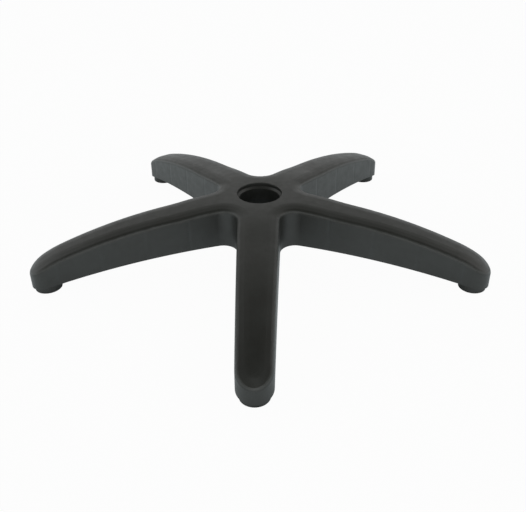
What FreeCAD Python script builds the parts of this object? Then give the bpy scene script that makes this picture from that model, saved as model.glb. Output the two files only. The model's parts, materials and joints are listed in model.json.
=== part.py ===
import FreeCAD, Part
import math
import os
import Sketcher
from FreeCAD import Vector

# A five star office chair base, injection moulded in one piece. The hub axis is Z and the floor under the
# caster bosses is z = 0. One arm points along -Y, and the others follow every fifth of a turn.

# Driving sizes, in millimetres and degrees
DRIVING_SIZES = {
    # Plan of the star: arms that narrow to a round tip, with a round web between each two
    "arm_count": 5,
    "caster_circle": 262.5,
    "arm_taper": 1.8,
    "web_radius": 18.0,
    "wall_draft": 0.75,
    # Caster bosses and their stem sockets
    "stem_radius": 5.6,
    "stem_depth": 25.0,
    "stem_lead": 0.4,
    "boss_wall": 10.0,
    "tip_lip": 3.45,
    "tip_inset": 0.75,
    # Side view of the top: flat hub, blend, long crown of the arm and the drop to its tip
    "hub_height": 82.0,
    "hub_flat": 34.0,
    "hub_rise": 4.7,
    "blend_end": 116.0,
    "crown_start": 60.0,
    "drop_inset": 20.0,
    "drop_height": 47.4,
    "drop_radius": 120.0,
    # Lower edge of the side walls
    "skirt_start": 50.0,
    "skirt_height": 31.8,
    "skirt_tip": 5.4,
    # Rounding across the arm: a shallow shoulder, then a tighter ridge
    "tip_flat": 7.5,
    "shoulder_drop": 2.5,
    "shoulder_round": 24.0,
    "ridge_round": 5.5,
    # Hollow underside
    "side_wall": 4.5,
    "roof_wall": 4.6,
    "rib": 3.0,
    "rib_count": 3,
    "rib_start": 94.0,
    "rib_pitch": 52.0,
    # Hub socket for the gas lift
    "seat_radius": 25.1,
    "seat_angle": 1.4377,
    "mouth_step": 2.4,
    "mouth_depth": 4.4,
    "mouth_round": 0.8,
    "tube_wall": 7.4,
    "tube_drop": 5.4,
}

# Room beyond the moulding for the shapes that only cut
CUT_ROOM = 10.0

# Limits for picking faces and edges: the upward part of a unit normal on a wall and on the top, the least
# turn at a crease, and how close two equal sizes come
WALL_RISE = 0.2
TOP_RISE = 0.4
CREASE_TURN = math.radians(2)
SAME_SIZE = 1e-6

# Sizes that follow from the driving ones
BOSS_RADIUS = "(sheet.stem_radius + sheet.boss_wall)"
TIP_RADIUS = f"({BOSS_RADIUS} + sheet.tip_lip)"
TIP_CENTER = "(sheet.caster_circle - sheet.tip_inset)"
ARM_REACH = f"({TIP_CENTER} + {TIP_RADIUS})"
CUT_REACH = f"({ARM_REACH} + {CUT_ROOM})"
CUT_TOP = f"(sheet.hub_height + {CUT_ROOM})"
CROWN_HEIGHT = "(sheet.hub_height - sheet.hub_rise)"
DROP_START = "(sheet.caster_circle - sheet.drop_inset)"
TUBE_RADIUS = "(sheet.seat_radius + sheet.tube_wall)"
TUBE_FOOT = "(sheet.skirt_height - sheet.tube_drop)"
MOUTH_RADIUS = "(sheet.seat_radius + sheet.mouth_step)"
SEAT_TOP = "(sheet.hub_height - sheet.mouth_depth - sheet.mouth_step)"
SEAT_FOOT_RADIUS = f"(sheet.seat_radius - ({SEAT_TOP} - {TUBE_FOOT}) * tan(sheet.seat_angle * 1 deg))"
SHOULDER_WIDTH = f"({TIP_RADIUS} - sheet.tip_flat)"
WEB_REACH = f"({TUBE_RADIUS} + 2 * sheet.web_radius)"
RIB_REACH = f"({TIP_RADIUS} + sheet.web_radius)"


def falling_arc_radius(run, fall):
    # Radius of an arc that starts level and comes down by fall over run
    return f"((({run}) ^ 2 + ({fall}) ^ 2) / (2 * ({fall})))"


CROWN_RADIUS = falling_arc_radius(f"{DROP_START} - sheet.crown_start", f"{CROWN_HEIGHT} - sheet.drop_height")
SKIRT_RADIUS = falling_arc_radius(f"{ARM_REACH} - sheet.skirt_start", "sheet.skirt_height - sheet.skirt_tip")

doc = FreeCAD.newDocument("five_star_base")
sheet = doc.addObject("Spreadsheet::Sheet", "sheet")
for row, (alias, driving_size) in enumerate(DRIVING_SIZES.items(), start=1):
    sheet.set(f"A{row}", alias)
    sheet.set(f"B{row}", str(driving_size))
    sheet.setAlias(f"B{row}", alias)
doc.recompute()


def value(expression):
    result = sheet.evalExpression(expression)
    return float(getattr(result, "Value", result))


# Sketching

def origin_part(body, role):
    return next(part for part in body.Origin.OriginFeatures if part.Role == role)


def new_sketch(body, name, role):
    sketch = body.newObject("Sketcher::SketchObject", name)
    sketch.AttachmentSupport = (origin_part(body, role), [""])
    sketch.MapMode = "FlatFace"
    return sketch


def dimension(sketch, name, expression, kind, *places):
    amount = value(expression)
    if kind == "Angle":
        amount = math.radians(amount)
    index = sketch.addConstraint(Sketcher.Constraint(kind, *places, amount))
    sketch.renameConstraint(index, name)
    sketch.setExpression(f"Constraints.{name}", expression)


def constrain(sketch, kind, *groups):
    for group in groups:
        sketch.addConstraint(Sketcher.Constraint(kind, *group))


def add_line(sketch, start, end):
    return sketch.addGeometry(Part.LineSegment(Vector(*start), Vector(*end)))


def add_arc(sketch, center, radius, start, end):
    # Counter-clockwise from start to end, in radians
    circle = Part.Circle(Vector(*center), Vector(0, 0, 1), radius)
    return sketch.addGeometry(Part.ArcOfCircle(circle, start, end))


def add_loop(sketch, points):
    # Closed straight outline; each side runs from its point to the next
    lines = [add_line(sketch, start, end) for start, end in zip(points, points[1:] + points[:1])]
    following = lines[1:] + lines[:1]
    constrain(sketch, "Coincident", *[(line, 2, after, 1) for line, after in zip(lines, following)])
    return lines


def add_strip(sketch, half_width, low, high):
    # Rectangle across the Y axis, from its low side
    lines = add_loop(sketch, [(-half_width, low), (half_width, low), (half_width, high), (-half_width, high)])
    constrain(sketch, "Symmetric", (lines[0], 1, lines[0], 2, -2))
    constrain(sketch, "Vertical", (lines[1],), (lines[3],))
    constrain(sketch, "Horizontal", (lines[2],))
    return lines


def circle_sketch(body, name, radius, distance=None):
    # A circle on the hub axis, or at a distance from it along the first arm
    sketch = new_sketch(body, name, "XY_Plane")
    center = Vector(0, 0 if distance is None else -value(distance), 0)
    circle = sketch.addGeometry(Part.Circle(center, Vector(0, 0, 1), value(radius)))
    dimension(sketch, "radius", radius, "Radius", circle)
    if distance is None:
        constrain(sketch, "Coincident", (circle, 3, -1, 1))
    else:
        constrain(sketch, "PointOnObject", (circle, 3, -2))
        dimension(sketch, "distance", distance, "DistanceY", circle, 3, -1, 1)
    return sketch


# Features

def add_pad(body, name, sketch, length):
    pad = body.newObject("PartDesign::Pad", name)
    pad.Profile = sketch
    pad.setExpression("Length", length)
    return pad


def add_pocket(body, name, sketch, depth):
    # The sketch lies on the floor, so the pocket cuts upwards
    pocket = body.newObject("PartDesign::Pocket", name)
    pocket.Profile = sketch
    pocket.Reversed = True
    pocket.setExpression("Length", depth)
    return pocket


def add_groove(body, name, sketch):
    groove = body.newObject("PartDesign::Groove", name)
    groove.Profile = sketch
    groove.ReferenceAxis = (sketch, ["V_Axis"])
    groove.Angle = 360.0
    return groove


def finish_feature(body, feature):
    body.Tip = feature
    doc.recompute()
    return feature


def repeat_on_arms(body, feature):
    pattern = body.newObject("PartDesign::PolarPattern", f"{feature.Name}_on_arms")
    pattern.Originals = [feature]
    pattern.Axis = (origin_part(body, "Z_Axis"), [""])
    pattern.Angle = 360.0
    pattern.setExpression("Occurrences", "sheet.arm_count")
    return finish_feature(body, pattern)


def element_names(kind, elements, wanted):
    return [f"{kind}{i}" for i, element in enumerate(elements, start=1) if wanted(element)]


def round_edges(body, name, base, wanted, radius):
    fillet = body.newObject("PartDesign::Fillet", name)
    fillet.Base = (base, element_names("Edge", base.Shape.Edges, wanted))
    fillet.setExpression("Radius", radius)
    return finish_feature(body, fillet)


def draft_walls(body, name, base):
    # Walls lean inwards as they rise, from their place on the floor
    draft = body.newObject("PartDesign::Draft", name)
    draft.Base = (base, element_names("Face", base.Shape.Faces, is_upright))
    draft.NeutralPlane = (origin_part(body, "XY_Plane"), [""])
    draft.setExpression("Angle", "sheet.wall_draft")
    return finish_feature(body, draft)


# Picking edges and faces by where they lie

def is_upright(face):
    return abs(face.normalAt(*face.Surface.parameter(face.CenterOfMass)).z) < WALL_RISE


def is_web_edge(edge):
    # Upright edges where two arms meet, close to the hub
    place = edge.CenterOfMass
    rise = abs(edge.Vertexes[0].Z - edge.Vertexes[-1].Z)
    return rise > CUT_ROOM and math.hypot(place.x, place.y) < value("sheet.caster_circle") / 2


def faces_by_edge(shape):
    owners = {}
    for face in shape.Faces:
        for edge in face.Edges:
            owners.setdefault(edge.hashCode(), []).append(face)
    return owners


def normals_at_middle(edge, owners):
    middle = edge.valueAt(0.5 * (edge.FirstParameter + edge.LastParameter))
    faces = owners[edge.hashCode()]
    return [face.normalAt(*face.Surface.parameter(middle)) for face in faces]


def ridge_of(shape):
    # Edges where the upright outer walls meet the top
    owners = faces_by_edge(shape)
    hub = value(TUBE_RADIUS)

    def is_ridge(edge):
        place = edge.CenterOfMass
        heights = sorted(normal.z for normal in normals_at_middle(edge, owners))
        outside = math.hypot(place.x, place.y) > hub
        return outside and len(heights) == 2 and abs(heights[0]) < WALL_RISE and heights[1] > TOP_RISE
    return is_ridge


def crease_of(shape):
    # Edges where the top turns down into its shoulder
    owners = faces_by_edge(shape)

    def is_crease(edge):
        normals = normals_at_middle(edge, owners)
        faces_up = len(normals) == 2 and min(normal.z for normal in normals) > TOP_RISE
        return faces_up and normals[0].getAngle(normals[1]) > CREASE_TURN
    return is_crease


def circle_at(radius, height):
    def is_circle(edge):
        curve = edge.Curve
        if curve.TypeId != "Part::GeomCircle":
            return False
        same_height = math.isclose(curve.Center.z, height, abs_tol=SAME_SIZE)
        return same_height and math.isclose(curve.Radius, radius, rel_tol=SAME_SIZE)
    return is_circle


# The star, solid and hollow

def draw_arm_plan(body, name, inset):
    # One arm from the far side of the hub to its round tip; its walls run tangent to the tip
    sketch = new_sketch(body, name, "XY_Plane")
    tip_radius = f"{TIP_RADIUS} - {inset}"
    radius = value(tip_radius)
    distance = value(TIP_CENTER)
    start = value("sheet.seat_radius")
    slant = math.radians(value("sheet.arm_taper"))
    touch = (radius * math.cos(slant), -distance - radius * math.sin(slant))
    root = touch[0] + (start - touch[1]) * math.tan(slant)
    right = add_line(sketch, (root, start), touch)
    tip = add_arc(sketch, (0, -distance), radius, math.pi + slant, 2 * math.pi - slant)
    left = add_line(sketch, (-touch[0], touch[1]), (-root, start))
    back = add_line(sketch, (-root, start), (root, start))
    constrain(sketch, "Tangent", (right, 2, tip, 2), (tip, 1, left, 1))
    constrain(sketch, "Coincident", (left, 2, back, 1), (back, 2, right, 1))
    constrain(sketch, "PointOnObject", (tip, 3, -2))
    constrain(sketch, "Symmetric", (back, 1, back, 2, -2))
    dimension(sketch, "start", "sheet.seat_radius", "DistanceY", -1, 1, back, 1)
    dimension(sketch, "distance", TIP_CENTER, "DistanceY", tip, 3, -1, 1)
    dimension(sketch, "tip", tip_radius, "Radius", tip)
    dimension(sketch, "slant", "90 deg - sheet.arm_taper * 1 deg", "Angle", back, 2, right, 1)
    return sketch


def pad_star(body, name, inset):
    plan = draw_arm_plan(body, f"{name}_plan", inset)
    star = repeat_on_arms(body, add_pad(body, f"{name}_arm", plan, CUT_TOP))
    webs = round_edges(body, f"{name}_webs", star, is_web_edge, f"sheet.web_radius + {inset}")
    return draft_walls(body, f"{name}_draft", webs)


def blend_radius(run, fall, lean):
    # Two equal arcs in an S take the flat hub down to the crown, which leans by an angle where they meet it.
    # Their centres lie two radii apart, which makes a quadratic in the radius.
    bend = 2 * math.cos(lean) - 2
    slope = run * math.sin(lean) - fall * (1 + math.cos(lean))
    return (-slope - math.sqrt(slope ** 2 - bend * (run ** 2 + fall ** 2))) / bend


def draw_top_profile(body, name, lowered):
    # The space above the top: flat hub, S blend, crown and drop
    sketch = new_sketch(body, name, "XZ_Plane")
    hub_top = value(f"sheet.hub_height - {lowered}")
    flat_end = value("sheet.hub_flat")
    crown_radius = value(CROWN_RADIUS)
    crown_center = (value("sheet.crown_start"), value(f"{CROWN_HEIGHT} - {lowered}") - crown_radius)
    drop_radius = value("sheet.drop_radius")
    reach = value(CUT_REACH)
    ceiling = value(CUT_TOP)

    lean = math.asin((value("sheet.blend_end") - crown_center[0]) / crown_radius)
    joint = (value("sheet.blend_end"), crown_center[1] + crown_radius * math.cos(lean))
    dive = math.asin((value(DROP_START) - crown_center[0]) / crown_radius)
    spare = crown_radius - drop_radius
    drop_center = (crown_center[0] + spare * math.sin(dive), crown_center[1] + spare * math.cos(dive))
    end = math.asin((reach - drop_center[0]) / drop_radius)
    blend = blend_radius(joint[0] - flat_end, hub_top - joint[1], lean)
    rise_center = (flat_end, hub_top - blend)
    dip_center = (joint[0] + blend * math.sin(lean), joint[1] + blend * math.cos(lean))
    turn = math.atan2(dip_center[0] - rise_center[0], dip_center[1] - rise_center[1])

    up = math.pi / 2
    flat = add_line(sketch, (0, hub_top), (flat_end, hub_top))
    rise = add_arc(sketch, rise_center, blend, up - turn, up)
    dip = add_arc(sketch, dip_center, blend, -up - turn, -up - lean)
    crown = add_arc(sketch, crown_center, crown_radius, up - dive, up - lean)
    drop = add_arc(sketch, drop_center, drop_radius, up - end, up - dive)
    side = add_line(sketch, (reach, drop_center[1] + drop_radius * math.cos(end)), (reach, ceiling))
    roof = add_line(sketch, (reach, ceiling), (0, ceiling))
    axis = add_line(sketch, (0, ceiling), (0, hub_top))
    constrain(sketch, "Tangent", (flat, 2, rise, 2), (rise, 1, dip, 1))
    constrain(sketch, "Tangent", (dip, 2, crown, 2), (crown, 1, drop, 2))
    constrain(sketch, "Coincident", (drop, 1, side, 1), (side, 2, roof, 1))
    constrain(sketch, "Coincident", (roof, 2, axis, 1), (axis, 2, flat, 1))
    constrain(sketch, "Horizontal", (flat,), (roof,))
    constrain(sketch, "Vertical", (side,))
    constrain(sketch, "PointOnObject", (roof, 2, -2), (flat, 1, -2))
    constrain(sketch, "Equal", (rise, dip))
    dimension(sketch, "hub_top", f"sheet.hub_height - {lowered}", "DistanceY", -1, 1, flat, 1)
    dimension(sketch, "flat_end", "sheet.hub_flat", "DistanceX", -1, 1, flat, 2)
    dimension(sketch, "blend_end", "sheet.blend_end", "DistanceX", -1, 1, crown, 2)
    dimension(sketch, "crown_start", "sheet.crown_start", "DistanceX", -1, 1, crown, 3)
    crown_depth = f"{CROWN_RADIUS} - {CROWN_HEIGHT} + {lowered}"
    dimension(sketch, "crown_depth", crown_depth, "DistanceY", crown, 3, -1, 1)
    dimension(sketch, "crown_radius", CROWN_RADIUS, "Radius", crown)
    dimension(sketch, "drop_start", DROP_START, "DistanceX", -1, 1, crown, 1)
    dimension(sketch, "drop_radius", "sheet.drop_radius", "Radius", drop)
    dimension(sketch, "reach", CUT_REACH, "DistanceX", -1, 1, drop, 1)
    dimension(sketch, "ceiling", CUT_TOP, "DistanceY", -1, 1, roof, 2)
    return sketch


def draw_skirt_profile(body):
    # The space under the side walls, level at the hub and falling towards the tips
    sketch = new_sketch(body, "skirt_profile", "XZ_Plane")
    height = value("sheet.skirt_height")
    start = value("sheet.skirt_start")
    radius = value(SKIRT_RADIUS)
    reach = value(CUT_REACH)
    below = -value("sheet.hub_height")
    end = math.asin((reach - start) / radius)
    flat = add_line(sketch, (0, height), (start, height))
    edge = add_arc(sketch, (start, height - radius), radius, math.pi / 2 - end, math.pi / 2)
    side = add_line(sketch, (reach, height - radius * (1 - math.cos(end))), (reach, below))
    base = add_line(sketch, (reach, below), (0, below))
    axis = add_line(sketch, (0, below), (0, height))
    constrain(sketch, "Tangent", (flat, 2, edge, 2))
    constrain(sketch, "Coincident", (edge, 1, side, 1), (side, 2, base, 1))
    constrain(sketch, "Coincident", (base, 2, axis, 1), (axis, 2, flat, 1))
    constrain(sketch, "Horizontal", (flat,), (base,))
    constrain(sketch, "Vertical", (side,))
    constrain(sketch, "PointOnObject", (base, 2, -2), (flat, 1, -2))
    dimension(sketch, "height", "sheet.skirt_height", "DistanceY", -1, 1, flat, 1)
    dimension(sketch, "start", "sheet.skirt_start", "DistanceX", -1, 1, flat, 2)
    dimension(sketch, "radius", SKIRT_RADIUS, "Radius", edge)
    dimension(sketch, "reach", CUT_REACH, "DistanceX", -1, 1, edge, 1)
    dimension(sketch, "below", "sheet.hub_height", "DistanceY", base, 1, -1, 1)
    return sketch


# The space inside the walls and under the roof, less the ribs, the bosses and the hub tube

def draw_long_rib(body):
    # From a caster boss along its arm, and from the hub tube to the web opposite
    sketch = new_sketch(body, "long_rib_plan", "XY_Plane")
    lines = add_strip(sketch, value("sheet.rib / 2"), -value("sheet.caster_circle"), value(WEB_REACH))
    dimension(sketch, "width", "sheet.rib", "DistanceX", lines[0], 1, lines[0], 2)
    dimension(sketch, "boss_end", "sheet.caster_circle", "DistanceY", lines[0], 1, -1, 1)
    dimension(sketch, "web_end", WEB_REACH, "DistanceY", -1, 1, lines[2], 1)
    return sketch


def draw_cross_ribs(body):
    sketch = new_sketch(body, "cross_rib_plan", "XY_Plane")
    for i in range(int(value("sheet.rib_count"))):
        far_side = f"sheet.rib_start + {i} * sheet.rib_pitch + sheet.rib / 2"
        low = -value(far_side)
        lines = add_strip(sketch, value(RIB_REACH), low, low + value("sheet.rib"))
        dimension(sketch, f"length_{i}", f"2 * {RIB_REACH}", "DistanceX", lines[0], 1, lines[0], 2)
        dimension(sketch, f"width_{i}", "sheet.rib", "DistanceY", lines[1], 1, lines[1], 2)
        dimension(sketch, f"far_side_{i}", far_side, "DistanceY", lines[0], 1, -1, 1)
    return sketch


def make_hollow():
    body = doc.addObject("PartDesign::Body", "hollow")
    pad_star(body, "inner", "sheet.side_wall")
    add_groove(body, "under_roof", draw_top_profile(body, "roof_profile", "sheet.roof_wall"))
    add_pocket(body, "tube_left", circle_sketch(body, "tube_left_plan", TUBE_RADIUS), CUT_TOP)
    boss = circle_sketch(body, "boss_left_plan", BOSS_RADIUS, "sheet.caster_circle")
    repeat_on_arms(body, add_pocket(body, "boss_left", boss, CUT_TOP))
    repeat_on_arms(body, add_pocket(body, "long_rib", draw_long_rib(body), CUT_TOP))
    repeat_on_arms(body, add_pocket(body, "cross_ribs", draw_cross_ribs(body), CUT_TOP))
    return body


# The moulding

def draw_socket_profile(body):
    # Half of the gas lift socket: mouth, lead-in and the long taper that grips the column
    sketch = new_sketch(body, "socket_profile", "XZ_Plane")
    top = value("sheet.hub_height")
    mouth = value(MOUTH_RADIUS)
    step = top - value("sheet.mouth_depth")
    foot = value(TUBE_FOOT)
    points = [(0, top), (mouth, top), (mouth, step), (value("sheet.seat_radius"), value(SEAT_TOP)),
              (value(SEAT_FOOT_RADIUS), foot), (0, foot)]
    lid, wall, lead, taper, base, axis = add_loop(sketch, points)
    constrain(sketch, "Horizontal", (lid,), (base,))
    constrain(sketch, "Vertical", (wall,))
    constrain(sketch, "PointOnObject", (lid, 1, -2), (axis, 1, -2))
    dimension(sketch, "top", "sheet.hub_height", "DistanceY", -1, 1, lid, 1)
    dimension(sketch, "mouth", MOUTH_RADIUS, "DistanceX", -1, 1, wall, 1)
    dimension(sketch, "depth", "sheet.mouth_depth", "DistanceY", wall, 2, wall, 1)
    dimension(sketch, "seat", "sheet.seat_radius", "DistanceX", -1, 1, taper, 1)
    dimension(sketch, "lead", "sheet.mouth_step", "DistanceY", lead, 2, lead, 1)
    dimension(sketch, "foot", TUBE_FOOT, "DistanceY", -1, 1, axis, 1)
    dimension(sketch, "seat_foot", SEAT_FOOT_RADIUS, "DistanceX", -1, 1, taper, 2)
    return sketch


def add_solid_outside(body):
    pad_star(body, "outer", "0")
    add_groove(body, "skirt", draw_skirt_profile(body))
    tube = circle_sketch(body, "tube_plan", TUBE_RADIUS)
    tube.setExpression("AttachmentOffset.Base.z", TUBE_FOOT)
    add_pad(body, "tube", tube, f"{CUT_TOP} - {TUBE_FOOT}")
    boss = circle_sketch(body, "boss_plan", BOSS_RADIUS, "sheet.caster_circle")
    repeat_on_arms(body, add_pad(body, "boss", boss, CUT_TOP))
    finish_feature(body, add_groove(body, "top", draw_top_profile(body, "top_profile", "0")))


def cut_underside(body, hollow):
    cut = body.newObject("PartDesign::Boolean", "underside")
    cut.Type = "Cut"
    cut.setObjects([hollow])
    finish_feature(body, cut)


def bore_sockets(body):
    add_groove(body, "socket", draw_socket_profile(body))
    stem = circle_sketch(body, "stem_plan", "sheet.stem_radius", "sheet.caster_circle")
    return repeat_on_arms(body, add_pocket(body, "stem", stem, "sheet.stem_depth"))


def soften_edges(body, base):
    shoulder = body.newObject("PartDesign::Chamfer", "shoulder")
    shoulder.Base = (base, element_names("Edge", base.Shape.Edges, ridge_of(base.Shape)))
    shoulder.ChamferType = "Two distances"
    shoulder.setExpression("Size", "sheet.shoulder_drop")
    shoulder.setExpression("Size2", SHOULDER_WIDTH)
    finish_feature(body, shoulder)
    soft = round_edges(body, "shoulder_soft", shoulder, crease_of(shoulder.Shape), "sheet.shoulder_round")
    ridge = round_edges(body, "ridge", soft, ridge_of(soft.Shape), "sheet.ridge_round")
    mouth_edge = circle_at(value(MOUTH_RADIUS), value("sheet.hub_height"))
    mouth = round_edges(body, "mouth_edge", ridge, mouth_edge, "sheet.mouth_round")
    lead = body.newObject("PartDesign::Chamfer", "stem_lead")
    lead.Base = (mouth, element_names("Edge", mouth.Shape.Edges, circle_at(value("sheet.stem_radius"), 0.0)))
    lead.setExpression("Size", "sheet.stem_lead")
    finish_feature(body, lead)


def make_star_base():
    hollow = make_hollow()
    body = doc.addObject("PartDesign::Body", "star_base")
    add_solid_outside(body)
    cut_underside(body, hollow)
    soften_edges(body, bore_sockets(body))
    return body


def check_and_write(parts):
    for thing in doc.Objects:
        if "Invalid" in thing.State or "Error" in thing.State:
            raise RuntimeError(f"{thing.Label} failed: {thing.getStatusString()}")
    os.makedirs("parts", exist_ok=True)
    for part in parts:
        shape = part.Shape
        if shape.isNull() or not shape.isValid() or len(shape.Solids) != 1:
            raise RuntimeError(f"{part.Label} isn't one valid solid")
        shape.exportStep(f"parts/{part.Label}.step")
        print(f"{part.Label}: {len(shape.Faces)} faces")


check_and_write([make_star_base()])
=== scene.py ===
import json
import math
import bpy
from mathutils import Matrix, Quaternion, Vector

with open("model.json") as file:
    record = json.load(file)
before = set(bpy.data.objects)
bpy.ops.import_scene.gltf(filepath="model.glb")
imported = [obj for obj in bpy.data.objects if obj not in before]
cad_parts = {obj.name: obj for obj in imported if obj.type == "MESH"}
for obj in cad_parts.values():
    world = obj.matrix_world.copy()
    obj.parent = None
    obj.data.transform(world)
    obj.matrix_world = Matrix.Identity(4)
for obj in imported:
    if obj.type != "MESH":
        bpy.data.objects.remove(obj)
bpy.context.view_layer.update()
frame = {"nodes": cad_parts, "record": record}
starBase = frame["nodes"]["star_base"]
print("frame loaded,", len(starBase.data.polygons), "faces in the moulding")

mm = 0.001  # the scene is in metres


def hexToLinear(code):
    channels = [int(code[i:i + 2], 16) / 255 for i in (1, 3, 5)]
    return [c / 12.92 if c <= 0.04045 else ((c + 0.055) / 1.055) ** 2.4 for c in channels] + [1.0]


def addNode(tree, kind, links=None, **settings):
    # links gives an input's value, or the socket that feeds it
    node = tree.nodes.new(kind)
    for name, setting in settings.items():
        setattr(node, name, setting)
    for place, feed in (links or {}).items():
        if isinstance(feed, bpy.types.NodeSocket):
            tree.links.new(feed, node.inputs[place])
        else:
            node.inputs[place].default_value = feed
    return node


def newMaterial(name):
    material = bpy.data.materials.new(name)
    material.use_nodes = True
    tree = material.node_tree
    tree.nodes.clear()
    return material, tree


# the star base, one moulding

casters = next(mount for mount in frame["record"]["mounts"] if mount["name"] == "caster_sockets")

nylon = {
    "skin": "#20211e",          # resin-rich skin
    "bloom": "#2a2c2a",         # greyer where glass fibre comes up to the skin
    "blush": "#2c2f2e",         # palest over the ribs, where the wall cools last
    "wearAndPaintedHighlight": "#4c4f4d",        # ridges that hands and floors have worn paler, lighter still as a painted highlight
    "bloomMm": 45,              # size of the cloudy flow marks
    "bloomDetail": 4.0,
    "bloomRoughness": 0.6,
    "bloomFrom": 0.35,          # part of the cloud noise over which the bloom comes up
    "bloomTo": 0.70,
    "streakMm": 9,              # size of the patches of more and less gloss
    "streakDetail": 3.0,
    "ior": 1.53,
    "roughness": 0.47,
    "roughnessSwing": 0.10,
    "rubbedRoughness": 0.42,
    "ridgeLean": 0.52,          # upward part of the normal in the middle of the worn, painted-highlight band along the ridges
    "ridgeCore": 0.05,          # how far from that the wear and painted highlight are full, and where they have faded
    "ridgeSpread": 0.26,
    "grainMm": 1.6,             # spark-eroded mould texture is about 0.3 mm, drawn coarser so that it shows
    "grainHeightMm": 0.05,
    "grainDetail": 2.0,
    "armCount": casters["dims"]["count"],
    "firstRibMm": 94,           # the walls sink a little where the cross ribs stand behind them
    "ribPitchMm": 52,
    "sinkWidthMm": 7,
    "sinkDepthMm": 0.15,
    "wallLean": 0.1,            # upward part of the normal: a wall up to this, a top from the next
    "topLean": 0.4,
}


def distanceAlongArm(tree, place):
    # how far out a point lies on the arm it belongs to: the largest of its reaches along all the arms
    reach = None
    for arm in range(nylon["armCount"]):
        angle = -math.pi / 2 + arm * 2 * math.pi / nylon["armCount"]
        heading = (math.cos(angle), math.sin(angle), 0)
        along = addNode(tree, "ShaderNodeVectorMath", {0: place, 1: heading}, operation="DOT_PRODUCT")
        reached = along.outputs["Value"]
        if reach is not None:
            reached = addNode(tree, "ShaderNodeMath", {0: reach, 1: reached}, operation="MAXIMUM").outputs[0]
        reach = reached
    return reach


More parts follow.
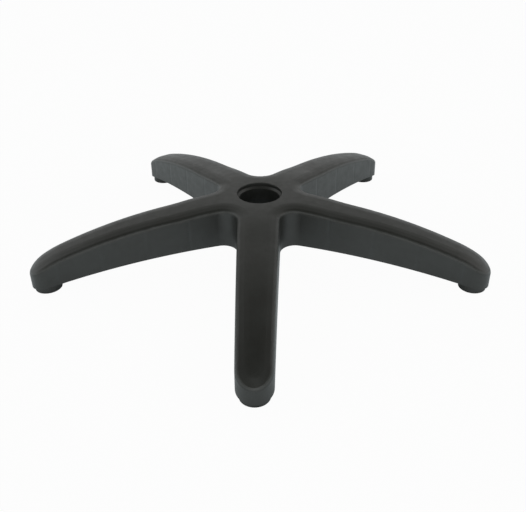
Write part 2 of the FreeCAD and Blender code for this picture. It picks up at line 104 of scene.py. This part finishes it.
def glassFilledNylon():
    # black polyamide with glass fibre, injection moulded in a spark-eroded tool: a satin near-black skin,
    # cloudy where the fibres bloom, with a fine grain, shallow sinks over the ribs, and ridges worn paler
    # and painted lighter as a highlight
    material, tree = newMaterial("glassFilledNylon")
    coords = addNode(tree, "ShaderNodeTexCoord").outputs
    place = coords["Object"]
    upward = addNode(tree, "ShaderNodeSeparateXYZ", {0: coords["Normal"]}).outputs["Z"]

    cloud = addNode(tree, "ShaderNodeTexNoise", {"Vector": place, "Scale": 1 / (nylon["bloomMm"] * mm),
                                                 "Detail": nylon["bloomDetail"],
                                                 "Roughness": nylon["bloomRoughness"]})
    bloom = addNode(tree, "ShaderNodeMapRange", {
        "Value": cloud.outputs["Fac"], "From Min": nylon["bloomFrom"], "From Max": nylon["bloomTo"]})
    clouded = addNode(tree, "ShaderNodeMix", {0: bloom.outputs[0], 6: hexToLinear(nylon["skin"]),
                                              7: hexToLinear(nylon["bloom"])}, data_type="RGBA")

    # distance from the nearest rib, only where the surface is upright
    reach = distanceAlongArm(tree, place)
    fromRib = addNode(tree, "ShaderNodeMath", {0: reach, 1: nylon["firstRibMm"] * mm}, operation="SUBTRACT")
    offRib = addNode(tree, "ShaderNodeMath", {0: fromRib.outputs[0], 1: nylon["ribPitchMm"] * mm / 2},
                     operation="PINGPONG")
    overRib = addNode(tree, "ShaderNodeMapRange", {
        "Value": offRib.outputs[0], "From Min": 0.0, "From Max": nylon["sinkWidthMm"] * mm / 2,
        "To Min": 1.0, "To Max": 0.0}, interpolation_type="SMOOTHSTEP")
    upright = addNode(tree, "ShaderNodeMapRange", {
        "Value": upward, "From Min": nylon["wallLean"], "From Max": nylon["topLean"],
        "To Min": 1.0, "To Max": 0.0})
    sunk = addNode(tree, "ShaderNodeMath", {0: overRib.outputs[0], 1: upright.outputs[0]},
                   operation="MULTIPLY")
    blush = addNode(tree, "ShaderNodeMath", {0: sunk.outputs[0], 1: bloom.outputs[0]}, operation="MULTIPLY")
    blushed = addNode(tree, "ShaderNodeMix", {0: blush.outputs[0], 6: clouded.outputs[2],
                                              7: hexToLinear(nylon["blush"])}, data_type="RGBA")

    # ridges are where the surface leans halfway between wall and top; there the colour is paler, partly wear
    # and partly a painted highlight, fading in and out along them
    lean = addNode(tree, "ShaderNodeMath", {0: upward, 1: nylon["ridgeLean"]}, operation="SUBTRACT")
    offRidge = addNode(tree, "ShaderNodeMath", {0: lean.outputs[0]}, operation="ABSOLUTE")
    ridge = addNode(tree, "ShaderNodeMapRange", {
        "Value": offRidge.outputs[0], "From Min": nylon["ridgeCore"], "From Max": nylon["ridgeSpread"],
        "To Min": 1.0, "To Max": 0.0}, interpolation_type="SMOOTHSTEP")
    patches = addNode(tree, "ShaderNodeTexNoise", {"Vector": place, "Scale": 1 / (nylon["streakMm"] * mm),
                                                   "Detail": nylon["streakDetail"]})
    wearAndHighlightMask = addNode(tree, "ShaderNodeMath", {0: ridge.outputs[0], 1: patches.outputs["Fac"]},
                  operation="MULTIPLY")
    # painted highlight: the ridges are painted paler, partly for wear and partly for their reflection of the
    # room
    colour = addNode(tree, "ShaderNodeMix", {0: wearAndHighlightMask.outputs[0], 6: blushed.outputs[2],
                                             7: hexToLinear(nylon["wearAndPaintedHighlight"])}, data_type="RGBA")
    matt = addNode(tree, "ShaderNodeMapRange", {
        "Value": patches.outputs["Fac"],
        "To Min": nylon["roughness"] - nylon["roughnessSwing"],
        "To Max": nylon["roughness"] + nylon["roughnessSwing"]})
    rough = addNode(tree, "ShaderNodeMix", {0: wearAndHighlightMask.outputs[0], 2: matt.outputs[0],
                                            3: nylon["rubbedRoughness"]})

    depth = addNode(tree, "ShaderNodeMath", {0: sunk.outputs[0], 1: -1.0}, operation="MULTIPLY")
    sink = addNode(tree, "ShaderNodeBump", {"Height": depth.outputs[0], "Strength": 1.0,
                                            "Distance": nylon["sinkDepthMm"] * mm})
    grain = addNode(tree, "ShaderNodeTexNoise", {"Vector": place, "Scale": 1 / (nylon["grainMm"] * mm),
                                                 "Detail": nylon["grainDetail"]})
    grained = addNode(tree, "ShaderNodeBump", {"Height": grain.outputs["Fac"], "Strength": 1.0,
                                               "Distance": nylon["grainHeightMm"] * mm,
                                               "Normal": sink.outputs["Normal"]})
    skin = addNode(tree, "ShaderNodeBsdfPrincipled", {
        "Base Color": colour.outputs[2], "Roughness": rough.outputs[0], "IOR": nylon["ior"],
        "Normal": grained.outputs["Normal"]})
    addNode(tree, "ShaderNodeOutputMaterial", {"Surface": skin.outputs[0]})
    return material


starBase.data.materials.clear()
starBase.data.materials.append(glassFilledNylon())
print("moulding finished in glass-filled nylon")

# the studio

studio = {
    "floorSizeM": 60,
    "floorGapMm": 0.2,          # the paper lies just under the boss faces
    "paper": "#e9eef0",
    "whiteShare": 0.965,        # how far the paper looks plain white instead of lit
    "mirrored": "#f4fdff",      # the paper as the object's gloss shows it
    "paintedShadowReachM": 0.06,        # how far round the object a painted shadow darkens the paper as reflections show it
    "paintedShadowSamples": 8,
    "horizon": "#f8f9f9",
    "wall": "#b8b8b4",
    "ceiling": "#6c6c68",
    "wallStarts": 0.05,         # sines of the heights where wall and ceiling begin
    "wallEnds": 0.72,
    "ceilingStarts": 0.92,
    "cameraSide": 1.5,          # how much lower they begin on the camera's side, where the room is dark
}


def mattPaper():
    # a paper sweep: even, without gloss, and it still takes the shadow; in reflections it glows with a
    # painted shadow round the object
    material, tree = newMaterial("mattPaper")
    light = addNode(tree, "ShaderNodeLightPath").outputs
    mirrored = addNode(tree, "ShaderNodeMath", {0: light["Is Glossy Ray"], 1: light["Is Transmission Ray"]},
                       operation="MAXIMUM").outputs[0]
    seen = addNode(tree, "ShaderNodeMath", {0: light["Is Camera Ray"], 1: mirrored}, operation="MAXIMUM")
    share = addNode(tree, "ShaderNodeMath", {0: seen.outputs[0], 1: studio["whiteShare"]},
                    operation="MULTIPLY")
    # painted shadow: in a reflection the glowing paper is darkened round the object by ambient occlusion,
    # standing in for its shadow there
    paintedShadow = addNode(tree, "ShaderNodeAmbientOcclusion", {"Distance": studio["paintedShadowReachM"]},
                     samples=studio["paintedShadowSamples"])
    level = addNode(tree, "ShaderNodeMix", {0: mirrored, 2: 1.0, 3: paintedShadow.outputs["AO"]})
    tone = addNode(tree, "ShaderNodeMix", {0: mirrored, 6: (1, 1, 1, 1), 7: hexToLinear(studio["mirrored"])},
                   data_type="RGBA")
    white = addNode(tree, "ShaderNodeEmission", {"Color": tone.outputs[2], "Strength": level.outputs[0]})
    paper = addNode(tree, "ShaderNodeBsdfDiffuse", {"Color": hexToLinear(studio["paper"])})
    mixed = addNode(tree, "ShaderNodeMixShader", {0: share.outputs[0], 1: paper.outputs[0],
                                                  2: white.outputs[0]})
    addNode(tree, "ShaderNodeOutputMaterial", {"Surface": mixed.outputs[0]})
    return material


bpy.ops.mesh.primitive_plane_add(size=studio["floorSizeM"], location=(0, 0, -studio["floorGapMm"] * mm))
floor = bpy.context.object
floor.name = "floor"
floor.data.materials.append(mattPaper())

world = bpy.data.worlds.new("studio")
bpy.context.scene.world = world
world.use_nodes = True
sky = world.node_tree
sky.nodes.clear()
heading = addNode(sky, "ShaderNodeTexCoord").outputs["Generated"]
along = addNode(sky, "ShaderNodeSeparateXYZ", {0: heading}).outputs
lift = addNode(sky, "ShaderNodeMapRange", {"Value": along["Y"], "From Min": 0.0, "From Max": -1.0,
                                           "To Min": 1.0, "To Max": studio["cameraSide"]})
height = addNode(sky, "ShaderNodeMath", {0: along["Z"], 1: lift.outputs[0]}, operation="MULTIPLY").outputs[0]
wallRise = addNode(sky, "ShaderNodeMapRange", {"Value": height, "From Min": studio["wallStarts"],
                                               "From Max": studio["wallEnds"]},
                   interpolation_type="SMOOTHSTEP")
ceilingRise = addNode(sky, "ShaderNodeMapRange", {"Value": height, "From Min": studio["wallEnds"],
                                                  "From Max": studio["ceilingStarts"]},
                      interpolation_type="SMOOTHSTEP")
wall = addNode(sky, "ShaderNodeMix", {0: wallRise.outputs[0], 6: hexToLinear(studio["horizon"]),
                                      7: hexToLinear(studio["wall"])}, data_type="RGBA")
room = addNode(sky, "ShaderNodeMix", {0: ceilingRise.outputs[0], 6: wall.outputs[2],
                                      7: hexToLinear(studio["ceiling"])}, data_type="RGBA")
lit = addNode(sky, "ShaderNodeBackground", {"Color": room.outputs[2], "Strength": 1.0})
addNode(sky, "ShaderNodeOutputWorld", {"Surface": lit.outputs[0]})

softBoxes = {
    "frontBox": {"from": (0.05, -2.4, 0.50), "sizeM": 0.9, "watts": 4, "tone": "#ffffff"},
    "leftBox": {"from": (-1.9, 0.3, 1.5), "sizeM": 1.3, "watts": 3, "tone": "#f8fcff"},
    "rightBox": {"from": (1.9, 0.3, 1.5), "sizeM": 1.3, "watts": 3, "tone": "#fffaf4"},
}
for name, box in softBoxes.items():
    light = bpy.data.lights.new(name, "AREA")
    light.shape = "DISK"
    light.size = box["sizeM"]
    light.energy = box["watts"]
    light.color = hexToLinear(box["tone"])[:3]
    lamp = bpy.data.objects.new(name, light)
    lamp.location = box["from"]
    lamp.rotation_euler = (-Vector(box["from"])).to_track_quat("-Z", "Y").to_euler()
    lamp.visible_camera = False
    bpy.context.scene.collection.objects.link(lamp)
print("studio lit")

# the camera, at the photograph's view

photoView = {
    "from": (0.02035, -0.71388, 0.44140),
    "aim": (0.00327, 0.0, -0.00937),
    "rollDeg": -0.83,
    "lensMm": 44.64,
    "sensorMm": 36.0,
}
cameraData = bpy.data.cameras.new("photoCamera")
cameraData.lens = photoView["lensMm"]
cameraData.sensor_width = photoView["sensorMm"]
camera = bpy.data.objects.new("photoCamera", cameraData)
sight = Vector(photoView["aim"]) - Vector(photoView["from"])
roll = Quaternion((0, 0, 1), math.radians(photoView["rollDeg"]))
camera.location = photoView["from"]
camera.rotation_euler = (sight.to_track_quat("-Z", "Y") @ roll).to_euler()
bpy.context.scene.collection.objects.link(camera)
bpy.context.scene.camera = camera
bpy.context.scene.view_settings.view_transform = "Standard"
print("camera set")
